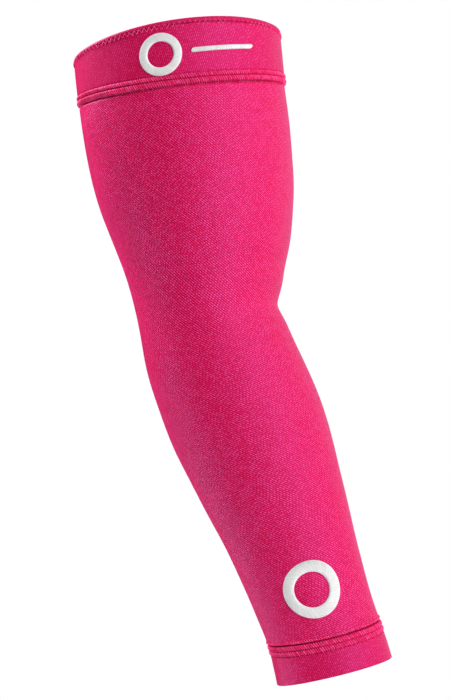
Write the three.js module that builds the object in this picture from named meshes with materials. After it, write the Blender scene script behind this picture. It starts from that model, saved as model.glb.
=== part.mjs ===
// A compression arm sleeve in its worn shape: a knitted tube round a slightly bent arm, a doubled band at the
// upper arm with a narrow binding on its rim, a doubled cuff at the wrist, and plain white embroidery.
// Millimetres and degrees, +Z up. The origin is the centre of the upper opening. The elbow bends in the XZ
// plane, with its crook towards +X, and the side with the embroidery faces -Y.

import * as THREE from 'three';

// Overall sizes
const drop = 375; // from the rim's centre straight down to the hem's centre
const reach = 94.2; // from the rim's centre to the hem's centre, towards +X
const rimWidth = 125; // across the sleeve in the plane of its bend, as are the next three
const elbowWidth = 87;
const forearmWidth = 93;
const wristWidth = 70;
const sway = 7; // how far the middle of the arm bows towards +Y

// Cloth
const clothThickness = 1.2;
const bandThickness = 1.9; // two layers
const cuffThickness = 1.8; // two layers
const bindingThickness = 2.1;
const pieceGap = 0.3; // between any two pieces
const doubledLift = 0.6; // how far band and cuff stand proud of the tube

// Upper band, measured along the sleeve
const bandHeight = 30; // at the sleeve's two edges
const bandCrown = 5.7; // how much higher the band reaches at the front and back
const crownFullness = 1.5; // the lower, the flatter the crown's top
const bindingHeight = 2.8; // where it is highest
const bindingLeast = 1.4; // where it is lowest
const bindingPeak = 30; // degrees round from the front
const bandAllowance = 9; // of the tube, tucked under the band

// Wrist cuff, measured along the sleeve
const cuffHeight = 24;
const cuffAllowance = 8; // of the tube, tucked under the cuff
const tuckRun = 3.5; // along which the tube sinks on its way under either

// Embroidery
const threadLift = 0.8; // how thick the stitching stands
const upperRingDiameter = 26;
const upperRingStroke = 5.2;
const upperRingAround = -9; // degrees from the front, + towards the crook
const barLength = 38;
const barHeight = 2.8;
const barClearance = 5; // between the ring and the bar
const wristRingDiameter = 34;
const wristRingStroke = 6.6;
const wristRingClearance = 11; // between the ring and the cuff's seam
const wristRingAround = 2;

// Fineness of the faceted surfaces
const stepsAround = 48;
const tubeRows = 27;
const ringSteps = 44;
const barSteps = 18;

// Rows of a short table as objects, by the names of its columns
function table(columns, rows) {
  const names = columns.split(' ');
  return rows.map((row) => Object.fromEntries(row.map((value, i) => [names[i], value])));
}

// The cloth's outer surface, a section for each row, from the rim to the hem. down is a share of drop,
// across of reach, bow of sway and width of the size in "of". depth is a share of the section's own width.
const sections = table('name down across of width depth tilt bow', [
  ['rim', 0, 0, rimWidth, 1, 0.8, 8.4, 0],
  ['band seam', 0.081, 0.032, rimWidth, 0.997, 0.81, 7.7, 0.14],
  ['upper arm', 0.142, 0.064, rimWidth, 0.995, 0.82, 7.1, 0.3],
  ['biceps', 0.221, 0.112, rimWidth, 0.963, 0.83, 7, 0.55],
  ['biceps end', 0.276, 0.151, rimWidth, 0.905, 0.85, 7.5, 0.72],
  ['above elbow', 0.324, 0.182, rimWidth, 0.838, 0.87, 8.5, 0.86],
  ['elbow', 0.375, 0.197, elbowWidth, 1.095, 0.88, 10.5, 0.95],
  ['crook', 0.435, 0.206, elbowWidth, 1, 0.9, 13, 1],
  ['below crook', 0.489, 0.262, elbowWidth, 1.028, 0.89, 16, 1],
  ['forearm top', 0.55, 0.355, forearmWidth, 0.993, 0.87, 18.2, 0.95],
  ['forearm', 0.607, 0.448, forearmWidth, 1, 0.855, 19, 0.86],
  ['forearm belly', 0.666, 0.542, forearmWidth, 0.956, 0.845, 19.2, 0.74],
  ['forearm end', 0.73, 0.64, forearmWidth, 0.886, 0.83, 20, 0.6],
  ['above wrist', 0.796, 0.738, wristWidth, 1.081, 0.815, 20.6, 0.44],
  ['wrist', 0.884, 0.855, wristWidth, 0.992, 0.805, 17.5, 0.25],
  ['cuff seam', 0.943, 0.938, wristWidth, 0.972, 0.8, 13.6, 0.12],
  ['hem', 1, 1, wristWidth, 0.986, 0.8, 13.8, 0],
]);

// Soft valleys in the cloth. at is a share of the sleeve's own length, half of elbowWidth and deep of
// clothThickness. around and spread are in degrees.
const folds = table('name at half around spread deep', [
  ['crook, front', 0.425, 0.16, 50, 28, 1.5],
  ['crook, back', 0.425, 0.16, 130, 28, 1.5],
  ['above the elbow point', 0.4, 0.3, -70, 40, 0.7],
]);

const radians = THREE.MathUtils.degToRad;

// A natural cubic spline through values at 0, 1, 2 and so on, carried on straight past both ends
function spline(values) {
  const last = values.length - 1;
  const bend = new Array(last + 1).fill(0);
  const weight = new Array(last + 1).fill(0);
  for (let i = 1; i < last; i++) {
    weight[i] = 1 / (4 - weight[i - 1]);
    bend[i] = (6 * (values[i + 1] - 2 * values[i] + values[i - 1]) - bend[i - 1]) * weight[i];
  }
  for (let i = last - 1; i > 0; i--) {
    bend[i] -= weight[i] * bend[i + 1];
  }
  const slope = (i, side) => {
    const run = values[i + 1] - values[i];
    return side === 0 ? run - (2 * bend[i] + bend[i + 1]) / 6 : run + (bend[i] + 2 * bend[i + 1]) / 6;
  };
  return (t) => {
    if (t < 0) return values[0] + t * slope(0, 0);
    if (t > last) return values[last] + (t - last) * slope(last - 1, 1);
    const i = Math.min(Math.floor(t), last - 1);
    const b = t - i;
    const a = 1 - b;
    const cubic = ((a ** 3 - a) * bend[i] + (b ** 3 - b) * bend[i + 1]) / 6;
    return a * values[i] + b * values[i + 1] + cubic;
  };
}

const middleX = spline(sections.map((row) => row.across * reach));
const middleY = spline(sections.map((row) => row.bow * sway));
const middleZ = spline(sections.map((row) => -row.down * drop));
const halfWidth = spline(sections.map((row) => (row.width * row.of) / 2));
const halfDepth = spline(sections.map((row) => (row.depth * row.width * row.of) / 2));
const tiltAngle = spline(sections.map((row) => radians(row.tilt)));

// Distances down the sleeve's middle line from the rim, at even steps through the sections
const stationStep = 0.02;
const stations = [0];
for (let t = stationStep; t < sections.length - 1 + stationStep / 2; t += stationStep) {
  const run = Math.hypot(
    middleX(t) - middleX(t - stationStep),
    middleY(t) - middleY(t - stationStep),
    middleZ(t) - middleZ(t - stationStep),
  );
  stations.push(stations[stations.length - 1] + run);
}
const sleeveLength = stations[stations.length - 1];

function stationAt(distance) {
  let i = 0;
  while (i < stations.length - 2 && stations[i + 1] < distance) i++;
  return (i + (distance - stations[i]) / (stations[i + 1] - stations[i])) * stationStep;
}

// The smooth skin. distance runs down the sleeve, and around is in radians from the front, + towards +X.
function skin(distance, around) {
  const t = stationAt(distance);
  const across = halfWidth(t) * Math.sin(around);
  return new THREE.Vector3(
    middleX(t) + across * Math.cos(tiltAngle(t)),
    middleY(t) - halfDepth(t) * Math.cos(around),
    middleZ(t) + across * Math.sin(tiltAngle(t)),
  );
}

function outward(distance, around) {
  const alongStep = 0.5;
  const aroundStep = 0.01;
  const along = skin(distance + alongStep, around).sub(skin(distance - alongStep, around));
  const beside = skin(distance, around + aroundStep).sub(skin(distance, around - aroundStep));
  return along.cross(beside).normalize();
}

function foldDepth(distance, around) {
  return folds.reduce((sum, fold) => {
    const away = (distance - (fold.at * sleeveLength)) / (fold.half * elbowWidth);
    let turn = around - radians(fold.around);
    turn = Math.atan2(Math.sin(turn), Math.cos(turn)) / radians(fold.spread);
    return sum + fold.deep * clothThickness * Math.exp(-away * away - turn * turn);
  }, 0);
}

// A point at a height over the cloth's outer surface
function lifted(distance, around, lift) {
  const height = lift - foldDepth(distance, around);
  return skin(distance, around).addScaledVector(outward(distance, around), height);
}

// The angle reached by going a length along the skin, round from a start
function aroundAfter(distance, start, length) {
  const strides = 12;
  let around = start;
  for (let i = 0; i < strides; i++) {
    const t = stationAt(distance);
    const speed = Math.hypot(halfWidth(t) * Math.cos(around), halfDepth(t) * Math.sin(around));
    around += length / strides / speed;
  }
  return around;
}

// A mesh from rows of points. Each row is one closed loop, and so is the run of rows, unless it has ends.
function bodyOf(name, material, loops, hasEnds = false) {
  const size = loops[0].length;
  const triangles = [];
  const runs = hasEnds ? loops.length - 1 : loops.length;
  for (let i = 0; i < runs; i++) {
    for (let j = 0; j < size; j++) {
      const a = i * size + j;
      const b = i * size + ((j + 1) % size);
      const c = ((i + 1) % loops.length) * size + ((j + 1) % size);
      const d = ((i + 1) % loops.length) * size + j;
      triangles.push(a, b, c, a, c, d);
    }
  }
  if (hasEnds) {
    const lastLoop = (loops.length - 1) * size;
    for (let j = 1; j < size - 1; j++) {
      triangles.push(0, j + 1, j, lastLoop, lastLoop + j, lastLoop + j + 1);
    }
  }
  const geometry = new THREE.BufferGeometry().setFromPoints(loops.flat());
  geometry.setIndex(triangles);
  geometry.computeVertexNormals();
  const mesh = new THREE.Mesh(geometry, material);
  mesh.name = name;
  return mesh;
}

// A wall that goes right round the sleeve. edgeAt gives, for an angle, its edge as [distance, lift] pairs:
// down the outside, then up the inside.
function wallOf(name, material, edgeAt) {
  const loops = [];
  for (let i = 0; i < stepsAround; i++) {
    const around = (i / stepsAround) * Math.PI * 2;
    loops.push(edgeAt(around).map(([distance, lift]) => lifted(distance, around, lift)));
  }
  return bodyOf(name, material, loops);
}

function evenly(from, to, count) {
  return Array.from({ length: count }, (_, i) => from + ((to - from) * i) / (count - 1));
}

const pinkCloth = new THREE.MeshStandardMaterial({ color: '#d6296a', roughness: 0.85, metalness: 0 });
const pinkBand = new THREE.MeshStandardMaterial({ color: '#cf2263', roughness: 0.85, metalness: 0 });
const pinkBinding = new THREE.MeshStandardMaterial({ color: '#c01c58', roughness: 0.85, metalness: 0 });
const whiteThread = new THREE.MeshStandardMaterial({ color: '#ececec', roughness: 0.6, metalness: 0 });

const cuffSeam = sleeveLength - cuffHeight;
const tuckLift = doubledLift - Math.max(bandThickness, cuffThickness) - pieceGap;

// Where the rim's top edge and the band's own top edge lie, at an angle
function rimAt(around) {
  return -bandCrown * Math.abs(Math.cos(around)) ** crownFullness;
}

function bindingHeightAt(around) {
  const nearPeak = (1 + Math.cos(around - radians(bindingPeak))) / 2;
  return bindingLeast + (bindingHeight - bindingLeast) * nearPeak;
}

function armTube() {
  const rows = [
    bandHeight - bandAllowance,
    bandHeight,
    bandHeight + tuckRun / 2,
    ...evenly(bandHeight + tuckRun, cuffSeam - tuckRun, tubeRows),
    cuffSeam - tuckRun / 2,
    cuffSeam,
    cuffSeam + cuffAllowance,
  ];
  const sink = (distance) => {
    const past = Math.max(bandHeight - distance, distance - cuffSeam) / tuckRun;
    return tuckLift * THREE.MathUtils.smoothstep(past, -1, 0);
  };
  const endRows = 4;
  const inner = rows.filter((_, i) => i < endRows || i >= rows.length - endRows || i % 2 === 0).reverse();
  return wallOf('arm_tube', pinkCloth, () => [
    ...rows.map((distance) => [distance, sink(distance)]),
    ...inner.map((distance) => [distance, sink(distance) - clothThickness]),
  ]);
}

// A doubled wall between two edges, each rounded
function doubledWall(name, material, topAt, bottomAt, thickness, count) {
  const outside = doubledLift;
  const inside = doubledLift - thickness;
  const round = thickness / 4;
  return wallOf(name, material, (around) => {
    const top = topAt(around);
    const bottom = bottomAt(around);
    return [
      [top, outside - round],
      ...evenly(top + round, bottom - round, count).map((distance) => [distance, outside]),
      [bottom, outside - round],
      [bottom, inside + round],
      [bottom - round, inside],
      [(top + bottom) / 2, inside],
      [top + round, inside],
      [top, inside + round],
    ];
  });
}

function upperBand() {
  const topAt = (around) => rimAt(around) + bindingHeightAt(around) + pieceGap;
  return doubledWall('upper_band', pinkBand, topAt, () => bandHeight, bandThickness, 5);
}

function edgeBinding() {
  const bottomAt = (around) => rimAt(around) + bindingHeightAt(around);
  return doubledWall('edge_binding', pinkBinding, rimAt, bottomAt, bindingThickness, 2);
}

function wristCuff() {
  return doubledWall('wrist_cuff', pinkBand, () => cuffSeam, () => sleeveLength, cuffThickness, 4);
}

// A patch of stitching, by points [right, up] in the cloth from its centre, with a lift
function patchPoint(centre, right, up, lift) {
  const distance = centre.distance - up;
  return lifted(distance, aroundAfter(distance, centre.around, right), lift);
}

// The section of a satin-stitched line: [share of its half width, share of its thickness]
const satinSection = [
  [1, 0],
  [1, 0.45],
  [0.5, 1],
  [-0.5, 1],
  [-1, 0.45],
  [-1, 0],
];

function stitchedRing(name, centre, diameter, stroke, baseLift) {
  const middle = (diameter - stroke) / 2;
  const loops = [];
  for (let i = 0; i < ringSteps; i++) {
    const turn = (i / ringSteps) * Math.PI * 2;
    loops.push(satinSection.map(([aside, height]) => {
      const radius = middle - (aside * stroke) / 2;
      const lift = baseLift + height * threadLift;
      return patchPoint(centre, radius * Math.cos(turn), radius * Math.sin(turn), lift);
    }));
  }
  return bodyOf(name, whiteThread, loops);
}

function stitchedBar(name, centre, from, length, height, baseLift) {
  const loops = evenly(0, 1, barSteps).map((share) => {
    const fromEnd = Math.min(share, 1 - share) * length;
    const round = Math.min(fromEnd / (height / 2), 1);
    const half = (height / 2) * (0.35 + 0.65 * Math.sqrt(round * (2 - round)));
    return satinSection.map(([aside, up]) =>
      patchPoint(centre, from + share * length, aside * half, baseLift + up * threadLift));
  });
  return bodyOf(name, whiteThread, loops, true);
}

// The upper ring lies halfway up the band's plain part, and the wrist ring clear of the cuff's seam
const upperRingUp = (bandHeight + bandCrown - bindingHeight) / 2;
const wristRingUp = wristRingClearance + wristRingDiameter / 2;
const upperCentre = { distance: bandHeight - upperRingUp, around: radians(upperRingAround) };
const wristCentre = { distance: cuffSeam - wristRingUp, around: radians(wristRingAround) };
const barStart = upperRingDiameter / 2 + barClearance;

const sleeve = new THREE.Group();
sleeve.add(
  armTube(),
  upperBand(),
  edgeBinding(),
  wristCuff(),
  stitchedRing('upper_emblem_ring', upperCentre, upperRingDiameter, upperRingStroke, doubledLift + pieceGap),
  stitchedBar('upper_emblem_bar', upperCentre, barStart, barLength, barHeight, doubledLift + pieceGap),
  stitchedRing('wrist_emblem_ring', wristCentre, wristRingDiameter, wristRingStroke, pieceGap),
);

export default sleeve;
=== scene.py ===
"""A knitted compression sleeve in its worn shape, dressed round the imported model, in a pale studio.

Metres, +Z up. The origin is the centre of the upper opening, the elbow bends in the XZ plane with its
crook towards +X, and the side with the embroidery faces -Y. Angles round the sleeve run from the front,
+ towards +X.
"""

import logging
import math
from dataclasses import dataclass, field
from enum import Enum
from typing import ClassVar

import bpy
import numpy as np
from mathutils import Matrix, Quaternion, Vector


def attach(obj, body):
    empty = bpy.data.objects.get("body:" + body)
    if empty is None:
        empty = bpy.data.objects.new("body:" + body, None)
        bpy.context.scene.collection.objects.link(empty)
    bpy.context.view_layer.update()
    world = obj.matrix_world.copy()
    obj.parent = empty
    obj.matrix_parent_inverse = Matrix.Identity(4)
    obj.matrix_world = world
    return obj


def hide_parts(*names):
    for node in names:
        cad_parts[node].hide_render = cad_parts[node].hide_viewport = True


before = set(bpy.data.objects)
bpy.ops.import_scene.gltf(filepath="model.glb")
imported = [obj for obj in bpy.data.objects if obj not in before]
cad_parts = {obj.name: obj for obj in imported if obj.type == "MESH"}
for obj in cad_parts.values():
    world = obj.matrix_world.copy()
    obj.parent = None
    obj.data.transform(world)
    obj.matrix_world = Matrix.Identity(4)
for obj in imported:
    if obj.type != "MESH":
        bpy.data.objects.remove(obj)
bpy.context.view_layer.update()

log = logging.getLogger("arm_sleeve")

MM = 0.001
BODY = "root"


class Spline:
    """A natural cubic spline through values at 0, 1, 2 and so on, carried on straight past both ends."""

    def __init__(self, values: list[float]) -> None:
        """Works out the bend at each value.

        Args:
            values: The heights that the curve passes through, one step apart.
        """
        self.values = np.asarray(values, float)
        self.last = len(values) - 1
        self.bend = np.zeros(self.last + 1)
        weight = np.zeros(self.last + 1)
        for i in range(1, self.last):
            weight[i] = 1 / (4 - weight[i - 1])
            step = self.values[i + 1] - 2 * self.values[i] + self.values[i - 1]
            self.bend[i] = (6 * step - self.bend[i - 1]) * weight[i]
        for i in range(self.last - 1, 0, -1):
            self.bend[i] -= weight[i] * self.bend[i + 1]

    def __call__(self, t: np.ndarray) -> np.ndarray:
        """Gives the curve's height.

        Args:
            t: Places along the curve, in steps.

        Returns:
            The heights there.
        """
        held = np.clip(t, 0, self.last)
        i = np.minimum(held.astype(int), self.last - 1)
        b = held - i
        a = 1 - b
        left, right = self.bend[i], self.bend[i + 1]
        run = self.values[i + 1] - self.values[i]
        slope = np.where(b < 0.5, run - (2 * left + right) / 6, run + (left + 2 * right) / 6)
        cubic = ((a**3 - a) * left + (b**3 - b) * right) / 6
        return a * self.values[i] + b * self.values[i + 1] + cubic + (t - held) * slope


def smoothstep(value: np.ndarray, low: float, high: float) -> np.ndarray:
    """Rises smoothly from 0 at low to 1 at high."""
    share = np.clip((value - low) / (high - low), 0, 1)
    return share * share * (3 - 2 * share)


def hump(value: np.ndarray, middle: float, half: float) -> np.ndarray:
    """A raised cosine, 1 in the middle and 0 from half a width away."""
    return 0.5 + 0.5 * np.cos(np.pi * np.clip((value - middle) / half, -1, 1))


@dataclass(frozen=True)
class Section:
    """One row of the sleeve's form: shares of the named sizes, and the tilt in degrees."""

    name: str
    down: float
    across: float
    of: str
    width: float
    depth: float
    tilt: float
    bow: float


@dataclass(frozen=True)
class Fold:
    """A soft valley in the cloth, or a swell: where it lies, how far it spreads and how deep it is."""

    name: str
    at: float
    half: float
    around: float
    spread: float
    deep: float


SECTIONS = (
    Section("rim", 0, 0, "rim_width", 1, 0.8, 8.4, 0),
    Section("band seam", 0.081, 0.032, "rim_width", 0.997, 0.81, 7.7, 0.14),
    Section("upper arm", 0.142, 0.064, "rim_width", 0.995, 0.82, 7.1, 0.3),
    Section("biceps", 0.221, 0.112, "rim_width", 0.963, 0.83, 7, 0.55),
    Section("biceps end", 0.276, 0.151, "rim_width", 0.905, 0.85, 7.5, 0.72),
    Section("above elbow", 0.324, 0.182, "rim_width", 0.838, 0.87, 8.5, 0.86),
    Section("elbow", 0.375, 0.197, "elbow_width", 1.095, 0.88, 10.5, 0.95),
    Section("crook", 0.435, 0.206, "elbow_width", 1, 0.9, 13, 1),
    Section("below crook", 0.489, 0.262, "elbow_width", 1.028, 0.89, 16, 1),
    Section("forearm top", 0.55, 0.355, "forearm_width", 0.993, 0.87, 18.2, 0.95),
    Section("forearm", 0.607, 0.448, "forearm_width", 1, 0.855, 19, 0.86),
    Section("forearm belly", 0.666, 0.542, "forearm_width", 0.956, 0.845, 19.2, 0.74),
    Section("forearm end", 0.73, 0.64, "forearm_width", 0.886, 0.83, 20, 0.6),
    Section("above wrist", 0.796, 0.738, "wrist_width", 1.081, 0.815, 20.6, 0.44),
    Section("wrist", 0.884, 0.855, "wrist_width", 0.992, 0.805, 17.5, 0.25),
    Section("cuff seam", 0.943, 0.938, "wrist_width", 0.972, 0.8, 13.6, 0.12),
    Section("hem", 1, 1, "wrist_width", 0.986, 0.8, 13.8, 0),
)

FOLDS = (
    Fold("crook, front", 0.425, 0.16, 50, 28, 1.5),
    Fold("crook, back", 0.425, 0.16, 130, 28, 1.5),
    Fold("above the elbow point", 0.4, 0.3, -70, 40, 0.7),
    Fold("crease of the crook", 0.43, 0.055, 90, 45, 0.75),
    Fold("swell above the crease", 0.396, 0.1, 90, 45, -0.95),
    Fold("swell below the crease", 0.462, 0.08, 90, 40, -0.3),
)


@dataclass
class SleeveForm:
    """The cloth's outer surface, by the distance down the sleeve and the angle round it."""

    drop: float = 375 * MM
    reach: float = 94.2 * MM
    rim_width: float = 125 * MM
    elbow_width: float = 87 * MM
    forearm_width: float = 93 * MM
    wrist_width: float = 70 * MM
    sway: float = 7 * MM
    cloth: float = 1.2 * MM
    gap: float = 0.3 * MM
    doubled_lift: float = 0.6 * MM
    fine_steps: int = 721
    length: float = field(init=False)

    def __post_init__(self) -> None:
        """Runs the splines through the sections and measures the middle line."""
        widths = [row.width * getattr(self, row.of) for row in SECTIONS]
        self._middle = [
            Spline([row.across * self.reach for row in SECTIONS]),
            Spline([row.bow * self.sway for row in SECTIONS]),
            Spline([-row.down * self.drop for row in SECTIONS]),
        ]
        self._half_width = Spline([width / 2 for width in widths])
        self._half_depth = Spline([row.depth * width / 2 for row, width in zip(SECTIONS, widths)])
        self._tilt = Spline([math.radians(row.tilt) for row in SECTIONS])
        stations_a_section = 50
        self._steps = np.linspace(0, len(SECTIONS) - 1, (len(SECTIONS) - 1) * stations_a_section + 1)
        line = np.stack([spline(self._steps) for spline in self._middle], axis=-1)
        runs = np.linalg.norm(np.diff(line, axis=0), axis=-1)
        self._stations = np.concatenate([[0], np.cumsum(runs)])
        self.length = float(self._stations[-1])

    def _station(self, distance: np.ndarray) -> np.ndarray:
        """The place along the sections at a distance down the sleeve.

        Args:
            distance: Distances down the sleeve.

        Returns:
            Places along the splines, in sections.
        """
        held = np.interp(distance, self._stations, self._steps)
        first = (self._steps[1] - self._steps[0]) / (self._stations[1] - self._stations[0])
        final = (self._steps[-1] - self._steps[-2]) / (self._stations[-1] - self._stations[-2])
        return held + np.minimum(distance, 0) * first + np.maximum(distance - self.length, 0) * final

    def skin(self, distance: np.ndarray, around: np.ndarray) -> np.ndarray:
        """Points of the smooth outer surface.

        Args:
            distance: Distances down the sleeve, in metres.
            around: Angles round it, in radians.

        Returns:
            The points, in an array that ends in x, y and z.
        """
        distance, around = np.broadcast_arrays(np.asarray(distance, float), np.asarray(around, float))
        t = self._station(distance)
        across = self._half_width(t) * np.sin(around)
        x = self._middle[0](t) + across * np.cos(self._tilt(t))
        y = self._middle[1](t) - self._half_depth(t) * np.cos(around)
        z = self._middle[2](t) + across * np.sin(self._tilt(t))
        return np.stack([x, y, z], axis=-1)

    def outward(self, distance: np.ndarray, around: np.ndarray) -> np.ndarray:
        """The smooth surface's normals.

        Args:
            distance: Distances down the sleeve.
            around: Angles round it.

        Returns:
            Unit vectors.
        """
        along_step, around_step = 0.5 * MM, 0.01
        along = self.skin(distance + along_step, around) - self.skin(distance - along_step, around)
        beside = self.skin(distance, around + around_step) - self.skin(distance, around - around_step)
        normal = np.cross(along, beside)
        return normal / np.linalg.norm(normal, axis=-1, keepdims=True)

    def fold_depth(self, distance: np.ndarray, around: np.ndarray) -> np.ndarray:
        """How far the folds let the cloth in.

        Args:
            distance: Distances down the sleeve.
            around: Angles round it.

        Returns:
            Depths under the smooth surface.
        """
        depth = 0.0
        for fold in FOLDS:
            away = (distance - fold.at * self.length) / (fold.half * self.elbow_width)
            turn = around - math.radians(fold.around)
            turn = np.arctan2(np.sin(turn), np.cos(turn)) / math.radians(fold.spread)
            depth = depth + fold.deep * self.cloth * np.exp(-away * away - turn * turn)
        return depth

    def lifted(self, distance: np.ndarray, around: np.ndarray, lift: np.ndarray) -> np.ndarray:
        """Points at a height over the cloth's outer surface, folds and all.

        Args:
            distance: Distances down the sleeve.
            around: Angles round it.
            lift: Heights over the surface.

        Returns:
            The points, in an array that ends in x, y and z.
        """
        distance, around, lift = np.broadcast_arrays(distance, around, lift)
        height = lift - self.fold_depth(distance, around)
        return self.skin(distance, around) + self.outward(distance, around) * height[..., None]

    def _runs_round(self, distance: float) -> tuple[np.ndarray, np.ndarray]:
        """Angles from the back right round, and how far it is along the skin from each to the next."""
        angles = np.linspace(-np.pi, np.pi, self.fine_steps)
        return angles, np.linalg.norm(np.diff(self.skin(distance, angles), axis=0), axis=-1)

    def lengths_round(self, distance: float) -> tuple[np.ndarray, np.ndarray]:
        """Angles from the back right round, and how far along the skin each of them comes."""
        angles, runs = self._runs_round(distance)
        return angles, np.concatenate([[0], np.cumsum(runs)])

    def girth(self, distance: float) -> float:
        """How far it is round the sleeve at one distance."""
        return float(self._runs_round(distance)[1].sum())

    def around_at(self, distance: float, arc: np.ndarray) -> np.ndarray:
        """The angles reached by going a length along the skin from the front.

        Args:
            distance: The distance down the sleeve at which the way runs.
            arc: The lengths, in metres, + towards +X. They may pass the back.

        Returns:
            The angles, in radians.
        """
        angles, lengths = self.lengths_round(distance)
        whole = lengths[-1]
        turns = np.floor(arc / whole + 0.5)
        from_front = lengths - lengths[self.fine_steps // 2]
        return np.interp(arc - turns * whole, from_front, angles) + turns * 2 * np.pi


@dataclass(frozen=True)
class SeamRow:
    """A needle row: how far it lies from the join, its furrow and holes, and how much shade is painted into
    them.
    """

    at: float
    half: float
    deep: float
    hole: float
    shade: float
    hole_shade: float


@dataclass(frozen=True)
class SeamBead:
    """A ridge of cloth between two needle rows."""

    at: float
    half: float
    high: float


@dataclass(frozen=True)
class Spot:
    """Where on the cloth: distances down the sleeve, angles round it, and lengths round a join."""

    distance: np.ndarray
    around: np.ndarray
    arc: np.ndarray


@dataclass
class CoverSeam:
    """A cover-stitched seam that joins doubled cloth to the tube, with its ridges, furrows and needle holes,
    and the shade painted into them.

    The join lies a little lower at the front than at the back, by lean to either side.
    """

    form: SleeveForm
    name: str
    join: float
    inwards: int
    stitch_length: float
    columns_a_stitch: int
    rows: tuple[SeamRow, ...]
    beads: tuple[SeamBead, ...]
    pinch: float
    lean: float
    lean_to: float
    # Painted shade along the join: how far from it the shade reaches, and how dark it is at the join.
    join_shade: float
    join_dark: float = 0.9
    hole_size: float = 0.45 * MM
    pinch_size: float = 0.8 * MM
    girth: float = field(init=False)
    stitches: int = field(init=False)

    def __post_init__(self) -> None:
        """Fits a whole number of stitches round the join."""
        self.girth = self.form.girth(self.join)
        self.stitches = round(self.girth / self.stitch_length)

    def join_at(self, around: np.ndarray) -> np.ndarray:
        """Where the join lies, as a distance down the sleeve."""
        return self.join + self.lean * np.cos(around - self.lean_to)

    def columns(self) -> tuple[np.ndarray, np.ndarray]:
        """Angles round the sleeve and lengths round the join, with as many columns in each stitch."""
        count = self.stitches * self.columns_a_stitch
        arc = (np.arange(count) / count - 0.5) * self.girth
        return self.form.around_at(self.join, arc), arc

    def _nearness(self, spot: Spot) -> tuple[np.ndarray, np.ndarray, list[np.ndarray]]:
        """How the cloth lies to the join and the needles.

        Args:
            spot: Where on the cloth.

        Returns:
            How far it is to the join and to the nearest needle, and how near each row's holes are.
        """
        inside = (spot.distance - self.join_at(spot.around)) * self.inwards
        phase = spot.arc / self.girth * self.stitches
        away = np.abs(phase - np.round(phase)) * self.girth / self.stitches
        squares = [(inside - row.at) ** 2 + away**2 for row in self.rows]
        return inside, away, [np.exp(-square / self.hole_size**2) for square in squares]

    def painted_shade(self, spot: Spot) -> np.ndarray:
        """How much shade is painted into the doubled cloth's colour along the join and in the seam's furrows
        and needle holes.

        Args:
            spot: Where on the cloth.

        Returns:
            Numbers from 0, on open cloth, to 1.
        """
        inside, _, holes = self._nearness(spot)
        # Painted shade: darker along the join and in each row's furrow and needle holes, where shade falls.
        depth = self.join_dark * smoothstep(inside, self.join_shade, 0)
        for row, hole in zip(self.rows, holes):
            depth = np.maximum(depth, row.shade * hump(inside, row.at, row.half))
            depth = np.maximum(depth, row.hole_shade * hole)
        return depth

    def relief(self, spot: Spot) -> np.ndarray:
        """How far the seam lifts the doubled cloth.

        Args:
            spot: Where on the cloth.

        Returns:
            The heights over the plain cloth, in metres.
        """
        inside, away, holes = self._nearness(spot)
        full = 1 - self.pinch * np.exp(-((away / self.pinch_size) ** 2))
        height = 0.0
        for bead in self.beads:
            height = height + bead.high * hump(inside, bead.at, bead.half) * full
        for row, hole in zip(self.rows, holes):
            height = height - row.deep * hump(inside, row.at, row.half) - row.hole * hole
        return height


# Meshes: a wall of cloth is a list of rows, each a distance down the sleeve and a height over its surface
Rows = list[tuple[object, object]]


def straight(start: object, end: object, count: int) -> list:
    """Evenly spaced values from a start to an end, both counted."""
    return [start + (end - start) * share for share in np.linspace(0, 1, count)]


def rounded_edge(at: object, start: object, end: object, bulge: float, count: int) -> Rows:
    """The rows of a wall's rounded edge, from one face's height to the other's."""
    turns = np.linspace(0, np.pi, count + 2)[1:-1]
    return [(at + bulge * np.sin(turn), start + (end - start) * (1 - np.cos(turn)) / 2) for turn in turns]


def placed(name: str, data: bpy.types.ID) -> bpy.types.Object:
    """A new object in the scene."""
    item = bpy.data.objects.new(name, data)
    bpy.context.scene.collection.objects.link(item)
    return item


def write_vectors(mesh: bpy.types.Mesh, name: str, values: np.ndarray) -> None:
    """Writes a vector for each vertex as an attribute."""
    layer = mesh.attributes.new(name, "FLOAT_VECTOR", "POINT")
    layer.data.foreach_set("vector", values.astype(np.float32).ravel())


def write_numbers(mesh: bpy.types.Mesh, name: str, values: np.ndarray) -> None:
    """Writes a number for each vertex as an attribute."""
    layer = mesh.attributes.new(name, "FLOAT", "POINT")
    layer.data.foreach_set("value", values.astype(np.float32).ravel())


def loop_quads(loops: int, size: int, closed: bool = True) -> np.ndarray:
    """The quads between loops of points, each loop joined to the next.

    Args:
        loops: How many loops there are.
        size: How many points each has.
        closed: Whether the last loop is joined to the first.

    Returns:
        Four point numbers for each quad.
    """
    loop = np.arange(loops if closed else loops - 1)[:, None]
    point = np.arange(size)[None, :]
    after, beside = (loop + 1) % loops, (point + 1) % size
    corners = (loop * size + point, after * size + point, after * size + beside, loop * size + beside)
    return np.stack(np.broadcast_arrays(*corners), axis=-1).reshape(-1, 4)


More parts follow.
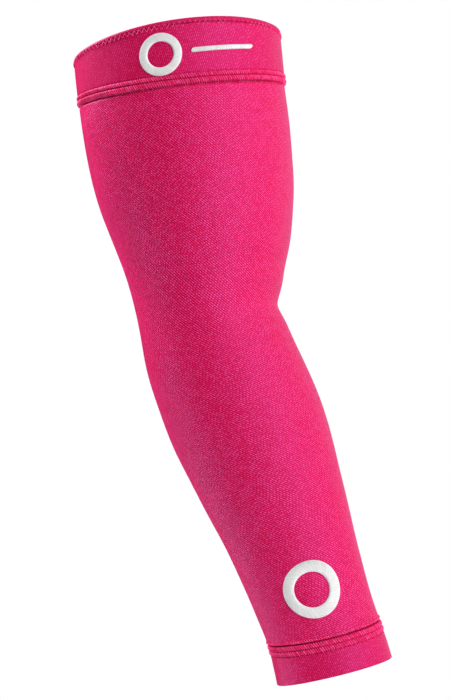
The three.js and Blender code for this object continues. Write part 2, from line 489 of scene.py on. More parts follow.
class WallMesh:
    """A closed wall of cloth right round the sleeve: rows of points down its outside and up its inside."""

    back_from = math.radians(100)
    back_to = math.radians(140)
    outer_share = 0.62

    def __init__(self, form: SleeveForm, around: np.ndarray) -> None:
        """Takes the form, and an angle for each of the rows' columns, from the back right round."""
        self.form = form
        self.around = around

    def build(
        self,
        name: str,
        material: bpy.types.Material,
        rows: Rows,
        outer_rows: int,
        painted_shade: np.ndarray | None = None,
    ) -> bpy.types.Object:
        """Makes the wall in its finish.

        Args:
            name: The object's name.
            material: The cloth's finish.
            rows: The wall's rows. What a row says is one number, or one for each column.
            outer_rows: How many of the rows belong to the outside.
            painted_shade: How much shade is painted into the colour of each of the outer rows, from 0 to 1.

        Returns:
            The new object, with the cloth's own coordinates as attributes.
        """
        count = len(self.around)
        distance, lift = (np.stack([np.broadcast_to(row[part], count) for row in rows]) for part in (0, 1))
        points = self.form.lifted(distance, self.around[None, :], lift)
        mesh = bpy.data.meshes.new(name)
        mesh.from_pydata(points.reshape(-1, 3).tolist(), [], loop_quads(len(rows), count).tolist())
        mesh.shade_smooth()
        mesh.materials.append(material)
        self._write_map(mesh, points, outer_rows)
        for side, arc in zip(("cloth_front", "cloth_back"), self._arcs(distance)):
            write_vectors(mesh, side, np.stack([arc, distance, np.zeros_like(distance)], axis=-1))
        back = smoothstep(np.abs(self.around), self.back_from, self.back_to)
        write_numbers(mesh, "cloth_side", np.broadcast_to(back, distance.shape))
        if painted_shade is not None:
            rest = np.zeros((len(rows) - len(painted_shade), count))
            write_numbers(mesh, "painted_shade", np.concatenate([painted_shade, rest]))
        return placed(name, mesh)

    def _arcs(self, distance: np.ndarray) -> tuple[np.ndarray, np.ndarray]:
        """Lengths round the sleeve, + towards rising angles.

        Args:
            distance: The distances down the sleeve, in rows.

        Returns:
            The lengths from the front line, and those from the back line.
        """
        points = self.form.skin(distance, self.around[None, :])
        runs = np.linalg.norm(np.roll(points, -1, axis=1) - points, axis=-1)
        lengths = np.cumsum(runs, axis=1) - runs
        whole = runs.sum(axis=1, keepdims=True)
        front = len(self.around) // 2
        from_back = np.where(np.arange(len(self.around))[None, :] <= front, lengths, lengths - whole)
        return lengths - lengths[:, front : front + 1], from_back

    def _write_map(self, mesh: bpy.types.Mesh, points: np.ndarray, outer_rows: int) -> None:
        """Unrolls the wall into the unit square: the outside, then the inside, cut along the back.

        Args:
            mesh: The wall's mesh.
            points: Its points, in rows.
            outer_rows: How many of the rows belong to the outside.
        """
        runs = np.linalg.norm(np.roll(points, -1, axis=0) - points, axis=-1).mean(axis=1)
        ends = np.cumsum(runs)
        folds, shares = (0, ends[outer_rows - 1], ends[-1]), (0, self.outer_share, 1)
        top, bottom = (np.interp(lengths, folds, shares)[:, None] for lengths in (ends - runs, ends))
        count = points.shape[1]
        left = (np.arange(count) / count)[None, :]
        right = left + 1 / count
        corners = ((left, top), (left, bottom), (right, bottom), (right, top))
        places = [np.stack(np.broadcast_arrays(u, v), axis=-1) for u, v in corners]
        layer = mesh.uv_layers.new(name="OFBake")
        layer.uv.foreach_set("vector", np.stack(places, axis=2).astype(np.float32).ravel())


# Finishes
class Wiring:
    """Adds nodes to a node tree, and joins them."""

    def __init__(self, tree: bpy.types.NodeTree) -> None:
        """Takes the tree to add to."""
        self.tree = tree

    def feed(self, socket: bpy.types.NodeSocket, value: object) -> None:
        """Links a socket to an input, or sets the input to a plain value.

        Args:
            socket: The input.
            value: The other socket or the plain value.
        """
        if isinstance(value, bpy.types.NodeSocket):
            self.tree.links.new(value, socket)
        else:
            socket.default_value = value

    def feed_all(self, node: bpy.types.Node, feeds: dict[str, object]) -> None:
        """Feeds some of a node's inputs by name."""
        for name, value in feeds.items():
            self.feed(node.inputs[name], value)

    def add(self, kind: str, feeds: dict[str, object] | None = None, **settings: object) -> bpy.types.Node:
        """Adds a node.

        Args:
            kind: Blender's name for the type of node.
            feeds: What its inputs get, by name.
            settings: Its properties, by name.

        Returns:
            The node.
        """
        node = self.tree.nodes.new(kind)
        for name, value in settings.items():
            setattr(node, name, value)
        self.feed_all(node, feeds or {})
        return node

    def math(self, operation: str, *values: object, clamp: bool = False) -> bpy.types.NodeSocket:
        """A number worked out from one to three others.

        Args:
            operation: Blender's name for what is done.
            values: Numbers or sockets.
            clamp: Whether the result is held between 0 and 1.

        Returns:
            The socket of the result.
        """
        node = self.add("ShaderNodeMath", operation=operation, use_clamp=clamp)
        for socket, value in zip(node.inputs, values):
            self.feed(socket, value)
        return node.outputs[0]

    def vector(self, operation: str, *values: object) -> bpy.types.Node:
        """A vector, or a number, worked out from vectors.

        Args:
            operation: Blender's name for what is done.
            values: Vectors or sockets.

        Returns:
            The node, which has an output for each kind of result.
        """
        node = self.add("ShaderNodeVectorMath", operation=operation)
        for socket, value in zip(node.inputs, values):
            self.feed(socket, value)
        return node

    def mix(self, factor: object, low: object, high: object, colours: bool = False) -> bpy.types.NodeSocket:
        """A blend of two numbers or two colours.

        Args:
            factor: The share of the second.
            low: The first, as a value or a socket.
            high: The second.
            colours: Whether they are colours.

        Returns:
            The socket of the blend.
        """
        node = self.add("ShaderNodeMix", {"Factor": factor}, data_type="RGBA" if colours else "FLOAT")
        kind = "RGBA" if colours else "VALUE"
        ends = [socket for socket in node.inputs if socket.type == kind and socket.name in "AB"]
        self.feed(ends[0], low)
        self.feed(ends[1], high)
        return next(socket for socket in node.outputs if socket.type == kind)

    def noise(self, vector: object, scale: float, detail: float, output: str = "Fac") -> bpy.types.NodeSocket:
        """Soft noise from 0 to 1 at a number of features to the vector's unit."""
        feeds = {"Vector": vector, "Scale": scale, "Detail": detail}
        return self.add("ShaderNodeTexNoise", feeds).outputs[output]

    def uneven(self, amount: float, noise: object, value: object, clamp: bool = False) -> object:
        """A number made uneven by noise, by up to half the amount each way."""
        return self.math("MULTIPLY_ADD", self.math("SUBTRACT", noise, 0.5), amount, value, clamp=clamp)

    def attribute(self, name: str, output: str = "Fac") -> bpy.types.NodeSocket:
        """One of the piece's own attributes."""
        return self.add("ShaderNodeAttribute", attribute_name=name).outputs[output]

    def bump(self, height: object, distance: float, strength: float) -> bpy.types.NodeSocket:
        """The normal over small bumps."""
        feeds = {"Height": height, "Distance": distance, "Strength": strength}
        return self.add("ShaderNodeBump", feeds).outputs["Normal"]


def new_material(name: str) -> tuple[bpy.types.Material, Wiring, bpy.types.Node]:
    """A new material, the wiring of its tree, and its shader."""
    material = bpy.data.materials.new(name)
    material.use_nodes = True
    return material, Wiring(material.node_tree), material.node_tree.nodes["Principled BSDF"]


Colour = tuple[float, float, float]


class Weave(Enum):
    """Which way the knit's ribs run on a piece of cloth: the share of the way along to the way round."""

    SLANTED = (1.0, -1.0)
    UPRIGHT = (1.0, -0.18)


@dataclass(frozen=True)
class KnitFinish:
    """A fine knit: short raised stitches in slanted rows, mottled, with a soft sheen of brushed fibre."""

    name: str
    weave: Weave = Weave.SLANTED
    deep: Colour = (0.66, 0.0004, 0.065)
    middle: Colour = (0.78, 0.004, 0.135)
    bright: Colour = (0.92, 0.12, 0.39)
    # shaded is the colour of the shade painted into seam furrows, needle holes, joins and the zigzag's
    # wedges.
    shaded: Colour = (0.44, 0.0004, 0.02)
    rib_pitch: float = 1.15 * MM
    stitch_length: float = 2.1 * MM
    wander: float = 0.5 * MM
    wander_scale: float = 0.3 / MM
    uneven_stitches: float = 0.4
    stitch_ends: float = 0.7
    relief: float = 0.16 * MM
    fuzz: float = 0.5
    fuzz_scale: float = 1.4 / MM
    mottle: float = 0.2
    mottle_scale: float = 0.38 / MM
    cloud: float = 0.08
    cloud_scale: float = 0.035 / MM
    mean_tone: float = 0.31
    base_tone: float = 0.42
    contrast: float = 1.2
    roughness: tuple[float, float] = (0.36, 0.5)
    gloss: float = 0.7
    gloss_tint: Colour = (0.25, 0.37, 0.95)
    sheen: float = 0.3
    sheen_roughness: float = 0.4
    sheen_tint: Colour = (1.0, 0.14, 0.52)

    def _stitches(self) -> bpy.types.NodeTree:
        """The group that turns cloth coordinates into the height of the stitches there, from 0 to 1."""
        tree = bpy.data.node_groups.new(self.name + "_stitches", "ShaderNodeTree")
        tree.interface.new_socket("Cloth", in_out="INPUT", socket_type="NodeSocketVector")
        tree.interface.new_socket("Height", in_out="OUTPUT", socket_type="NodeSocketFloat")
        wiring = Wiring(tree)
        cloth = wiring.add("NodeGroupInput").outputs["Cloth"]
        noise = wiring.noise(cloth, self.wander_scale, 1.5, "Color")
        shift = wiring.vector("MULTIPLY_ADD", noise, (self.wander,) * 3, (-self.wander / 2,) * 3).outputs[0]
        place = wiring.vector("ADD", cloth, shift).outputs[0]
        round_way, down_way = (share / math.hypot(*self.weave.value) for share in self.weave.value)
        across_way = (round_way / self.rib_pitch, down_way / self.rib_pitch, 0)
        along_way = (-down_way / self.stitch_length, round_way / self.stitch_length, 0)
        across = wiring.vector("DOT_PRODUCT", place, across_way).outputs["Value"]
        along = wiring.vector("DOT_PRODUCT", place, along_way).outputs["Value"]
        rib = wiring.math("ROUND", across)
        chance = wiring.add("ShaderNodeTexWhiteNoise", {"W": rib}, noise_dimensions="1D")
        staggered = wiring.math("ADD", along, chance.outputs["Value"])
        stitch = wiring.math("FLOOR", staggered)
        cell = wiring.add("ShaderNodeCombineXYZ", {"X": rib, "Y": stitch}).outputs[0]
        luck = wiring.add("ShaderNodeTexWhiteNoise", {"Vector": cell}, noise_dimensions="2D").outputs["Value"]
        turn = wiring.math("MULTIPLY", wiring.math("SUBTRACT", across, rib), 2 * math.pi)
        wave = wiring.math("COSINE", turn)
        crest = wiring.math("MULTIPLY_ADD", wave, 0.5, 0.5)
        from_middle = wiring.math("SUBTRACT", wiring.math("SUBTRACT", staggered, stitch), 0.5)
        ends = wiring.math("POWER", wiring.math("ABSOLUTE", wiring.math("MULTIPLY", from_middle, 2)), 3.0)
        body = wiring.math("MULTIPLY_ADD", ends, -self.stitch_ends, 1.0)
        strength = wiring.math("MULTIPLY_ADD", luck, self.uneven_stitches, 1 - self.uneven_stitches)
        height = wiring.math("MULTIPLY", wiring.math("MULTIPLY", crest, body), strength)
        wiring.add("NodeGroupOutput", {"Height": height})
        return tree

    def material(self) -> bpy.types.Material:
        """Builds the finish.

        Returns:
            The material.
        """
        material, wiring, shader = new_material(self.name)
        stitches = self._stitches()
        heights = []
        for side in ("cloth_front", "cloth_back"):
            cloth = wiring.attribute(side, "Vector")
            group = wiring.add("ShaderNodeGroup", {"Cloth": cloth}, node_tree=stitches)
            heights.append(group.outputs["Height"])
        height = wiring.mix(wiring.attribute("cloth_side"), *heights)
        place = wiring.add("ShaderNodeTexCoord").outputs["Object"]
        tone = wiring.uneven(self.mottle, wiring.noise(place, self.mottle_scale, 3.0), height)
        tone = wiring.uneven(self.cloud, wiring.noise(place, self.cloud_scale, 2.0), tone)
        offset = self.base_tone - self.contrast * self.mean_tone
        tone = wiring.math("MULTIPLY_ADD", tone, self.contrast, offset, clamp=True)
        ramp = wiring.add("ShaderNodeValToRGB", {"Fac": tone})
        ramp.color_ramp.elements.new(0.5)
        for stop, shade in zip(ramp.color_ramp.elements, (self.deep, self.middle, self.bright)):
            stop.color = (*shade, 1)
        # Painted shade: the colour is mixed towards the shaded colour, and the cloth made rougher, in seam
        # furrows, needle holes, along joins and between the zigzag's legs.
        painted_shade = wiring.attribute("painted_shade")
        rough = wiring.mix(height, self.roughness[1], self.roughness[0])
        fuzz = wiring.noise(place, self.fuzz_scale, 1.0)
        bumps = wiring.math("MULTIPLY_ADD", fuzz, self.fuzz, height)
        feeds = {
            "Base Color": wiring.mix(painted_shade, ramp.outputs["Color"], (*self.shaded, 1), colours=True),
            "Roughness": wiring.mix(painted_shade, rough, 1.0),
            "Normal": wiring.bump(bumps, self.relief, 1.0),
            "Specular IOR Level": self.gloss,
            "Specular Tint": (*self.gloss_tint, 1),
            "Sheen Weight": self.sheen,
            "Sheen Roughness": self.sheen_roughness,
            "Sheen Tint": (*self.sheen_tint, 1),
        }
        wiring.feed_all(shader, feeds)
        return material


@dataclass(frozen=True)
class ThreadFinish:
    """Spun thread: a little different in tone from strand to strand. Sheen and gloss have the same tint."""

    name: str
    dark: Colour
    light: Colour
    roughness: float
    sheen: float
    tint: Colour
    gloss: float = 0.3
    sheen_roughness: float = 0.4
    grain: float = 0.8
    grain_scale: float = 2.2 / MM
    rough_grain: float = 0.16
    fibre: float = 0.04 * MM
    fibre_strength: float = 0.8

    def material(self) -> bpy.types.Material:
        """Builds the finish.

        Returns:
            The material.
        """
        material, wiring, shader = new_material(self.name)
        place = wiring.add("ShaderNodeTexCoord").outputs["Object"]
        grain = wiring.noise(place, self.grain_scale, 2.0)
        tone = wiring.uneven(self.grain, grain, wiring.attribute("tone"), clamp=True)
        feeds = {
            "Base Color": wiring.mix(tone, (*self.dark, 1), (*self.light, 1), colours=True),
            "Roughness": wiring.uneven(self.rough_grain, grain, self.roughness),
            "Normal": wiring.bump(grain, self.fibre, self.fibre_strength),
            "Specular IOR Level": self.gloss,
            "Specular Tint": (*self.tint, 1),
            "Sheen Weight": self.sheen,
            "Sheen Roughness": self.sheen_roughness,
            "Sheen Tint": (*self.tint, 1),
        }
        wiring.feed_all(shader, feeds)
        return material


@dataclass(frozen=True)
class FloorFinish:
    """A plain pale studio floor with the faintest mottling."""

    name: str = "studio_floor"
    light: Colour = (0.86, 0.86, 0.86)
    dark: Colour = (0.8342, 0.8342, 0.8342)
    roughness: float = 0.9
    cloud_scale: float = 3.0

    def material(self) -> bpy.types.Material:
        """Builds the finish.

        Returns:
            The material.
        """
        material, wiring, shader = new_material(self.name)
        cloud = wiring.noise(wiring.add("ShaderNodeTexCoord").outputs["Object"], self.cloud_scale, 3.0)
        colour = wiring.mix(cloud, (*self.dark, 1), (*self.light, 1), colours=True)
        wiring.feed_all(shader, {"Base Color": colour, "Roughness": self.roughness})
        return material


# Threads: each is a run of edges, with the cloth's normals along it
Runs = list[tuple[np.ndarray, np.ndarray]]


def arch(share: np.ndarray) -> np.ndarray:
    """The height of a thread's arch along its length, from 0 at both ends to 1 in the middle."""
    return np.sin(np.pi * share) ** 0.5


class ThreadSweep:
    """Geometry Nodes that turn each run of edges into a thread, laid flat on the cloth under it."""

    sides = 7
    kinds = {
        "Thread Width": "Float",
        "Flatness": "Float",
        "Unevenness": "Float",
        "Seed": "Int",
        "Material": "Material",
    }

    def __init__(self) -> None:
        """Builds the tree once, for every thread of the sleeve."""
        self.tree = bpy.data.node_groups.new("thread_sweep", "GeometryNodeTree")
        face = self.tree.interface
        face.new_socket("Runs", in_out="INPUT", socket_type="NodeSocketGeometry")
        self.inputs = [
            face.new_socket(name, in_out="INPUT", socket_type="NodeSocket" + kind).identifier
            for name, kind in self.kinds.items()
        ]
        face.new_socket("Threads", in_out="OUTPUT", socket_type="NodeSocketGeometry")
        wiring = Wiring(self.tree)
        start = wiring.add("NodeGroupInput").outputs
        low = wiring.math("SUBTRACT", 1.0, start["Unevenness"])
        high = wiring.math("ADD", 1.0, start["Unevenness"])
        kept = self._store(wiring, start["Runs"], "girth", start["Seed"], low, high)
        other_seed = wiring.math("ADD", start["Seed"], 1.0)
        kept = self._store(wiring, kept, "tone", other_seed, 0.0, 1.0)
        curve = wiring.add("GeometryNodeMeshToCurve", {"Mesh": kept}).outputs["Curve"]
        up = wiring.add("GeometryNodeInputNamedAttribute", {"Name": "up"}, data_type="FLOAT_VECTOR")
        feeds = {"Curve": curve, "Normal": up.outputs["Attribute"]}
        turned = wiring.add("GeometryNodeSetCurveNormal", feeds, mode="FREE")
        feeds = {"Resolution": self.sides, "Radius": 0.5}
        ring = wiring.add("GeometryNodeCurvePrimitiveCircle", feeds, mode="RADIUS")
        shape = wiring.add("ShaderNodeCombineXYZ", {"X": 1.0, "Y": start["Flatness"], "Z": 1.0})
        feeds = {"Geometry": ring.outputs["Curve"], "Scale": shape.outputs[0]}
        profile = wiring.add("GeometryNodeTransform", feeds)
        girth = wiring.add("GeometryNodeInputNamedAttribute", {"Name": "girth"}, data_type="FLOAT")
        feeds = {
            "Curve": turned.outputs["Curve"],
            "Profile Curve": profile.outputs["Geometry"],
            "Scale": wiring.math("MULTIPLY", girth.outputs["Attribute"], start["Thread Width"]),
            "Fill Caps": True,
        }
        sweep = wiring.add("GeometryNodeCurveToMesh", feeds)
        smooth = wiring.add("GeometryNodeSetShadeSmooth", {"Geometry": sweep.outputs["Mesh"]})
        real = wiring.add("GeometryNodeRealizeInstances", {"Geometry": smooth.outputs["Geometry"]})
        feeds = {"Geometry": real.outputs["Geometry"], "Material": start["Material"]}
        dressed = wiring.add("GeometryNodeSetMaterial", feeds)
        wiring.add("NodeGroupOutput", {"Threads": dressed.outputs["Geometry"]})

    @staticmethod
    def _store(
        wiring: Wiring,
        geometry: bpy.types.NodeSocket,
        name: str,
        seed: bpy.types.NodeSocket,
        low: object,
        high: object,
    ) -> bpy.types.NodeSocket:
        """Keeps a random number for each run under a name.

        Args:
            wiring: The tree's wiring.
            geometry: The runs.
            name: The name of the attribute.
            seed: The seed of the numbers.
            low: The least of them.
            high: The greatest of them.

        Returns:
            The runs with the attribute.
        """
        island = wiring.add("GeometryNodeInputMeshIsland").outputs["Island Index"]
        chance = wiring.add("FunctionNodeRandomValue", {"ID": island, "Seed": seed}, data_type="FLOAT")
        wiring.feed(chance.inputs[2], low)
        wiring.feed(chance.inputs[3], high)
        feeds = {"Geometry": geometry, "Name": name, "Value": chance.outputs[1]}
        store = wiring.add("GeometryNodeStoreNamedAttribute", feeds, data_type="FLOAT", domain="POINT")
        return store.outputs["Geometry"]

    def sweep(
        self,
        name: str,
        runs: Runs,
        material: bpy.types.Material,
        width: float,
        flatness: float,
        unevenness: float,
        seed: int,
    ) -> bpy.types.Object:
        """Makes the threads of one piece.

        Args:
            name: The object's name.
            runs: For each thread or set of like threads, its points and the cloth's normals at them.
                An array's second last axis runs along the thread.
            material: The thread's finish.
            width: The thread's width on the cloth, in metres.
            flatness: Its height as a share of its width.
            unevenness: How much the width differs from thread to thread, as a share.
            seed: The seed of the differences.

        Returns:
            A plain mesh object.
        """
        places, normals, edges = [], [], []
        first = 0
        for points, ups in runs:
            points = points.reshape(-1, points.shape[-2], 3)
            ups = np.broadcast_to(ups.reshape(-1, ups.shape[-2], 3), points.shape)
            count, length = points.shape[:2]
            start = first + np.arange(count)[:, None] * length + np.arange(length - 1)[None, :]
            edges.append(np.stack([start, start + 1], axis=-1).reshape(-1, 2))
            places.append(points.reshape(-1, 3))
            normals.append(ups.reshape(-1, 3))
            first += count * length
        mesh = bpy.data.meshes.new(name + "_runs")
        mesh.from_pydata(np.concatenate(places).tolist(), np.concatenate(edges).tolist(), [])
        write_vectors(mesh, "up", np.concatenate(normals))
        holder = placed(name + "_runs", mesh)
        modifier = holder.modifiers.new("threads", "NODES")
        modifier.node_group = self.tree
        values = (width, flatness, unevenness, seed, material)
        for key, value in zip(self.inputs, values):
            modifier[key] = value
        graph = bpy.context.evaluated_depsgraph_get()
        plain = bpy.data.meshes.new_from_object(holder.evaluated_get(graph), depsgraph=graph)
        plain.name = name
        bpy.data.objects.remove(holder)
        return placed(name, plain)


def settle(piece: bpy.types.Object, slot: str, *replaced: str) -> None:
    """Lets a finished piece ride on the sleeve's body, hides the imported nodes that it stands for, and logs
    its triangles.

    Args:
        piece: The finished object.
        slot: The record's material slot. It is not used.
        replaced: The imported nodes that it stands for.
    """
    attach(piece, BODY)
    if replaced:
        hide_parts(*replaced)
    triangles = sum(len(polygon.vertices) - 2 for polygon in piece.data.polygons)
    log.info("%s: %d triangles", piece.name, triangles)


# The sleeve's cloth
@dataclass(frozen=True)
class Ripple:
    """A slow unevenness of worn cloth: its height, and two trains of waves by their rates round and down."""

    high: float
    first: tuple[float, float]
    second: tuple[float, float]

    def at(self, distance: np.ndarray, around: np.ndarray) -> np.ndarray:
        """The height there."""
        one, other = (np.sin(turns * around + rate * distance) for turns, rate in (self.first, self.second))
        return self.high * one * other


@dataclass
class ArmTube:
    """The knitted tube, with an allowance tucked under the band and another under the cuff."""

    form: SleeveForm
    top: CoverSeam
    bottom: CoverSeam
    top_allowance: float = 9 * MM
    bottom_allowance: float = 8 * MM
    top_run: float = 2.2 * MM
    bottom_run: float = 1.3 * MM
    tucked: float = -1.6 * MM
    columns: int = 320
    outer_rows: int = 196
    inner_rows: int = 60
    near_join: tuple[float, ...] = (0.0, 0.25, 0.5, 0.8, 1.1, 1.5, 2.0, 2.6, 3.4)
    clear_of_join: float = 4.5 * MM
    cut_edge: float = 0.25 * MM
    ridge: SeamBead = SeamBead(1.7 * MM, 1.3 * MM, 0.3 * MM)
    pucker: float = 0.16 * MM
    pucker_reach: float = 6 * MM
    ripple: Ripple = Ripple(0.12 * MM, (7, 60), (2, 95))

    def lift(self, distance: np.ndarray, around: np.ndarray) -> np.ndarray:
        """The cloth's outside over the smooth form: it sinks under band and cuff, and puckers near them.

        Args:
            distance: Distances down the sleeve.
            around: Angles round it.

        Returns:
            The heights, in metres.
        """
        below = distance - self.top.join_at(around)
        above = self.bottom.join_at(around) - distance
        sunk = 1 - smoothstep(below, 0, self.top_run) * smoothstep(above, 0, self.bottom_run)
        puckers = 0.6 * np.sin(43 * around + 1.3 * np.sin(5 * around)) + 0.4 * np.sin(29 * around + 2)
        near_top, near_bottom = (np.exp(-np.maximum(away, 0) / self.pucker_reach) for away in (below, above))
        height = self.tucked * sunk + self.ridge.high * hump(above, self.ridge.at, self.ridge.half)
        return height + self.pucker * (near_top + near_bottom) * puckers + self.ripple.at(distance, around)

    def build(self, material: bpy.types.Material) -> bpy.types.Object:
        """Makes the tube in its finish.

        Args:
            material: The cloth's finish.

        Returns:
            The tube.
        """
        around = -np.pi + np.arange(self.columns) * 2 * np.pi / self.columns
        outside = self._face(around, self.outer_rows, 0.0)
        inside = self._face(around, self.inner_rows, self.form.cloth)[::-1]
        half = self.form.cloth / 2
        end = (outside[-1][0] + self.cut_edge, outside[-1][1] - half)
        start = (outside[0][0] - self.cut_edge, outside[0][1] - half)
        rows = [*outside, end, *inside, start]
        return WallMesh(self.form, around).build("sleeve_tube", material, rows, len(outside))

    def _face(self, around: np.ndarray, count: int, sunk: float) -> Rows:
        """The rows of one face of the tube, from the top down, close together at the joins.

        Args:
            around: The columns' angles.
            count: How many rows lie in the stretch between the joins.
            sunk: How far the face lies under the cloth's outside.

        Returns:
            The rows.
        """
        top, bottom = self.top.join_at(around), self.bottom.join_at(around)
        steps = [step * MM for step in self.near_join]
        distances = [
            *(top - self.top_allowance * share for share in (1, 0.5)),
            *(top + step for step in steps),
            *straight(top + self.clear_of_join, bottom - self.clear_of_join, count),
            *(bottom - step for step in steps[::-1]),
            *(bottom + self.bottom_allowance * share for share in (0.5, 1)),
        ]
        return [(distance, self.lift(distance, around) - sunk) for distance in distances]


class DoubledCloth:
    """What the band and the cuff share: cloth sewn on by a cover seam, whose columns follow it."""

    seam: CoverSeam

    def lift(self, spot: Spot) -> np.ndarray:
        """The cloth's outside over the smooth form, in metres."""
        raise NotImplementedError

    def painted_shade(self, spot: Spot) -> np.ndarray:
        """How much shade is painted into the cloth's colour, from 0, on open cloth, to 1."""
        return self.seam.painted_shade(spot)

    def outside(self, distances: list[np.ndarray]) -> tuple[Rows, np.ndarray]:
        """The outside of the cloth.

        Args:
            distances: Distances down the sleeve, with a number for each column.

        Returns:
            The rows, and how much shade is painted into each of them.
        """
        spots = [Spot(distance, *self.seam.columns()) for distance in distances]
        painted_shade = np.stack([self.painted_shade(spot) for spot in spots])
        return [(spot.distance, self.lift(spot)) for spot in spots], painted_shade


@dataclass
class UpperBand(DoubledCloth):
    """The doubled band at the upper arm, and the narrow binding folded over its rim."""

    form: SleeveForm
    height: float = 30 * MM
    crown: float = 5.7 * MM
    fullness: float = 1.5
    cloth: float = 1.9 * MM
    fold: float = 0.7 * MM
    binding_cloth: float = 2.1 * MM
    binding_height: float = 2.8 * MM
    binding_least: float = 1.4 * MM
    binding_peak: float = math.radians(30)
    binding_crest: float = 0.8 * MM
    binding_fold: float = 0.25 * MM
    binding_swell: float = 0.14 * MM
    strip: float = 0.5 * MM
    strip_gap: float = 0.1 * MM
    near_binding: tuple[float, ...] = (0, 0.2, 0.4, 0.6, 0.85, 1.1, 1.4, 1.7, 2.0)
    plain_from: float = 2.4 * MM
    seam_from: float = 7.4 * MM
    seam_step: float = 0.27 * MM
    inner_low: float = 0.9 * MM
    tucked_top: float = 0.35 * MM
    thin_to: float = 0.8 * MM
    inner_to: float = 1.7 * MM
    top_edge: float = 0.15 * MM
    zigzag_stitch: float = 3.0 * MM
    zigzag_below: float = 1.9 * MM
    # The least and most painted shade in the wedges between the zigzag's legs.
    zigzag_shade: tuple[float, float] = (0.12, 0.44)
    ripple: Ripple = Ripple(0.1 * MM, (9, 90), (3, 140))
    seam: CoverSeam = field(init=False)

    def __post_init__(self) -> None:
        """Lays out the seam."""
        self.seam = CoverSeam(
            form=self.form,
            name="band_seam",
            join=self.height,
            inwards=-1,
            stitch_length=2.8 * MM,
            columns_a_stitch=7,
            rows=(
                SeamRow(3.2 * MM, 0.7 * MM, 0.45 * MM, 0.3 * MM, 0.5, 0.9),
                SeamRow(6.1 * MM, 0.6 * MM, 0.2 * MM, 0.4 * MM, 0.15, 0.8),
            ),
            beads=(SeamBead(1.6 * MM, 1.6 * MM, 0.36 * MM), SeamBead(4.65 * MM, 1.45 * MM, 0.28 * MM)),
            pinch=0.5,
            lean=2.8 * MM,
            lean_to=math.radians(35),
            join_shade=0.9 * MM,
        )

    def rim_at(self, around: np.ndarray) -> np.ndarray:
        """Where the rim lies, as a distance down the sleeve."""
        return -self.crown * np.abs(np.cos(around)) ** self.fullness

    def near_peak(self, around: np.ndarray) -> np.ndarray:
        """How near it is to where the binding is highest, from 0 to 1."""
        return (1 + np.cos(around - self.binding_peak)) / 2

    def binding_at(self, around: np.ndarray) -> np.ndarray:
        """How high the binding is."""
        return self.binding_least + (self.binding_height - self.binding_least) * self.near_peak(around)

    def lift(self, spot: Spot) -> np.ndarray:
        """The band's outside over the smooth form, with the seam's relief, and thinned under the binding.

        Args:
            spot: Where on the cloth.

        Returns:
            The heights, in metres.
        """
        below = spot.distance - self.rim_at(spot.around) - self.binding_at(spot.around)
        rise = smoothstep(below, -0.1 * MM, 1.1 * MM)
        tucked = self.form.doubled_lift - self.strip - self.strip_gap
        relief = self.seam.relief(spot) + self.ripple.at(spot.distance, spot.around)
        return tucked + (self.form.doubled_lift - tucked + relief) * rise

    def painted_shade(self, spot: Spot) -> np.ndarray:
        """How much shade is painted into the band's colour in the seam's furrows and between the legs of the
        rim's zigzag.

        Args:
            spot: Where on the cloth.

        Returns:
            Numbers from 0, on open cloth, to 1.
        """
        below = spot.distance - self.rim_at(spot.around) - self.binding_at(spot.around)
        angles, lengths = self.form.lengths_round(0.0)
        phase = np.interp(spot.around, angles, lengths / lengths[-1] * self.zigzag_count())
        from_point = np.abs(phase - np.floor(phase) - 0.5)
        share = np.clip(below / self.zigzag_below, 0, 1)
        # Painted shade: dark wedges between the zigzag's legs, fading downwards and weaker away from the
        # binding's highest point.
        wedge = smoothstep(0.5 * (1 - share) - from_point, -0.04, 0.1) * (below < self.zigzag_below)
        least, most = self.zigzag_shade
        shade = least + (most - least) * self.near_peak(spot.around)
        return np.maximum(self.seam.painted_shade(spot), wedge * smoothstep(share, 1.0, 0.5) * shade)

    def zigzag_count(self) -> int:
        """How many stitches the zigzag has."""
        return round(self.form.girth(0.0) / self.zigzag_stitch)

    def build(self, material: bpy.types.Material) -> bpy.types.Object:
        """Makes the band in its finish.

        Args:
            material: The cloth's finish.

        Returns:
            The band.
        """
        around, _ = self.seam.columns()
        rim, join = self.rim_at(around), self.seam.join_at(around)
        low = rim + self.binding_at(around)
        inner = self.form.doubled_lift - self.cloth
        thin = self.form.doubled_lift - self.binding_cloth + self.strip + self.strip_gap
        top = rim + self.strip + self.tucked_top
        distances = [
            *straight(top, low, 3)[:-1],
            *(low + step * MM for step in self.near_binding),
            *straight(low + self.plain_from, join - self.seam_from, 18)[:-1],
            *(join - step for step in np.arange(self.seam_from, self.fold, -self.seam_step)),
        ]
        rows, painted_shade = self.outside(distances)
        (last, lift), outer_rows = rows[-1], len(rows)
        rows += rounded_edge(last, lift, inner, self.fold, 6)
        rows += [(distance, inner) for distance in straight(last, low + self.inner_to, 9)]
        rows += [(low + self.thin_to, thin), (top, thin), (top - self.top_edge, (thin + rows[0][1]) / 2)]
        return WallMesh(self.form, around).build("sleeve_band", material, rows, outer_rows, painted_shade)

